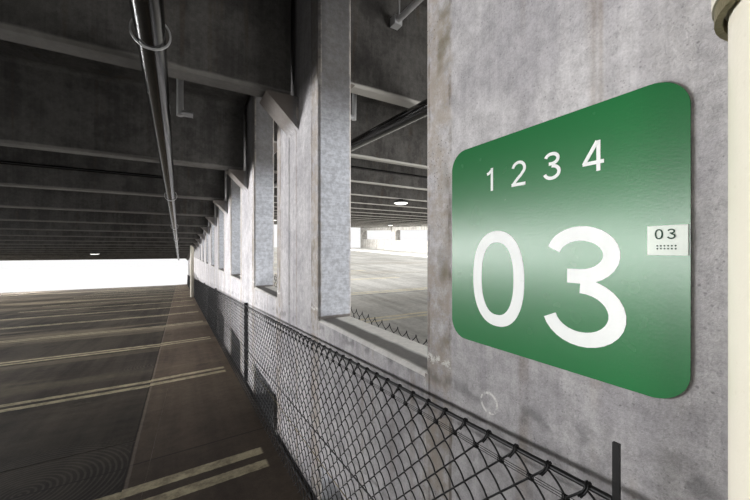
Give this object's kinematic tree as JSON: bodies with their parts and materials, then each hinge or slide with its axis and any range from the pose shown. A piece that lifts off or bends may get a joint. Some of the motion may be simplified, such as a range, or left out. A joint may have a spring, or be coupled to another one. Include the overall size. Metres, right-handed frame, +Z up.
{
  "type": "multi storey car park slice",
  "caption": "Two sloping bays of precast double tee parking decks either side of a load bearing wall with tall openings, fences, a level sign and hung pipes.",
  "frame": {"origin": "on the ground at the middle of the footprint, under the middle wall", "axes": "+X across the bays to the right, +Y along the middle wall, towards the end where the left decks are lowest, +Z up"},
  "size_m": [37.776, 36.68, 14.15],
  "materials": {
    "wall_concrete": "grey precast concrete with vertical streaks, stains and small surface holes",
    "deck_concrete": "worn grey-brown concrete with broom swirls, tyre marks and faded stall lines",
    "wash_concrete": "lighter cast concrete strip",
    "frame_concrete": "plain grey precast concrete",
    "pad": "matt black bearing pad",
    "black_steel": "black coated steel",
    "woven_wire": "black coated woven wire",
    "black_pipe": "glossy black painted pipe",
    "hanger_steel": "dull steel strap and rod",
    "cream_pipe": "satin cream paint",
    "clamp": "olive brown clamp",
    "sign_green": "glossy green sign with a white number",
    "touch_plate": "pale grey-green plastic",
    "lamp": "white shade and lens"
  },
  "bodies": {
    "root": {"wall_panel_1": "wall_concrete", "wall_panel_2": "wall_concrete", "wall_panel_3": "wall_concrete", "wall_panel_4": "wall_concrete", "wall_panel_5": "wall_concrete", "wall_panel_6": "wall_concrete", "wall_panel_7": "wall_concrete", "wall_panel_8": "wall_concrete", "wall_panel_9": "wall_concrete", "wall_panel_10": "wall_concrete", "level_2_left_deck": "deck_concrete", "level_2_right_deck": "deck_concrete", "level_3_left_deck": "deck_concrete", "level_3_right_deck": "deck_concrete", "level_4_left_deck": "deck_concrete", "level_4_right_deck": "deck_concrete", "left_wash_strips": "wash_concrete", "right_wash_strips": "wash_concrete", "level_2_left_spandrels": "frame_concrete", "level_2_right_spandrels": "frame_concrete", "level_3_left_spandrels": "frame_concrete", "level_3_right_spandrels": "frame_concrete", "level_4_left_spandrels": "frame_concrete", "level_4_right_spandrels": "frame_concrete", "left_columns": "frame_concrete", "right_columns": "frame_concrete", "bearing_pads": "pad", "level_2_left_fence_frame": "black_steel", "level_2_right_fence_frame": "black_steel", "level_3_left_fence_frame": "black_steel", "level_3_right_fence_frame": "black_steel", "level_2_left_fence_mesh": "woven_wire", "level_2_right_fence_mesh": "woven_wire", "level_3_left_fence_mesh": "woven_wire", "level_3_right_fence_mesh": "woven_wire", "level_signs": "sign_green", "touch_plates": "touch_plate", "main_pipes": "black_pipe", "pipe_hangers": "hanger_steel", "branch_pipes": "black_pipe", "deck_drains": "hanger_steel", "ceiling_conduits": "hanger_steel", "drain_risers": "cream_pipe", "riser_clamps": "clamp", "lamps": "lamp"}
  },
  "joints": []
}
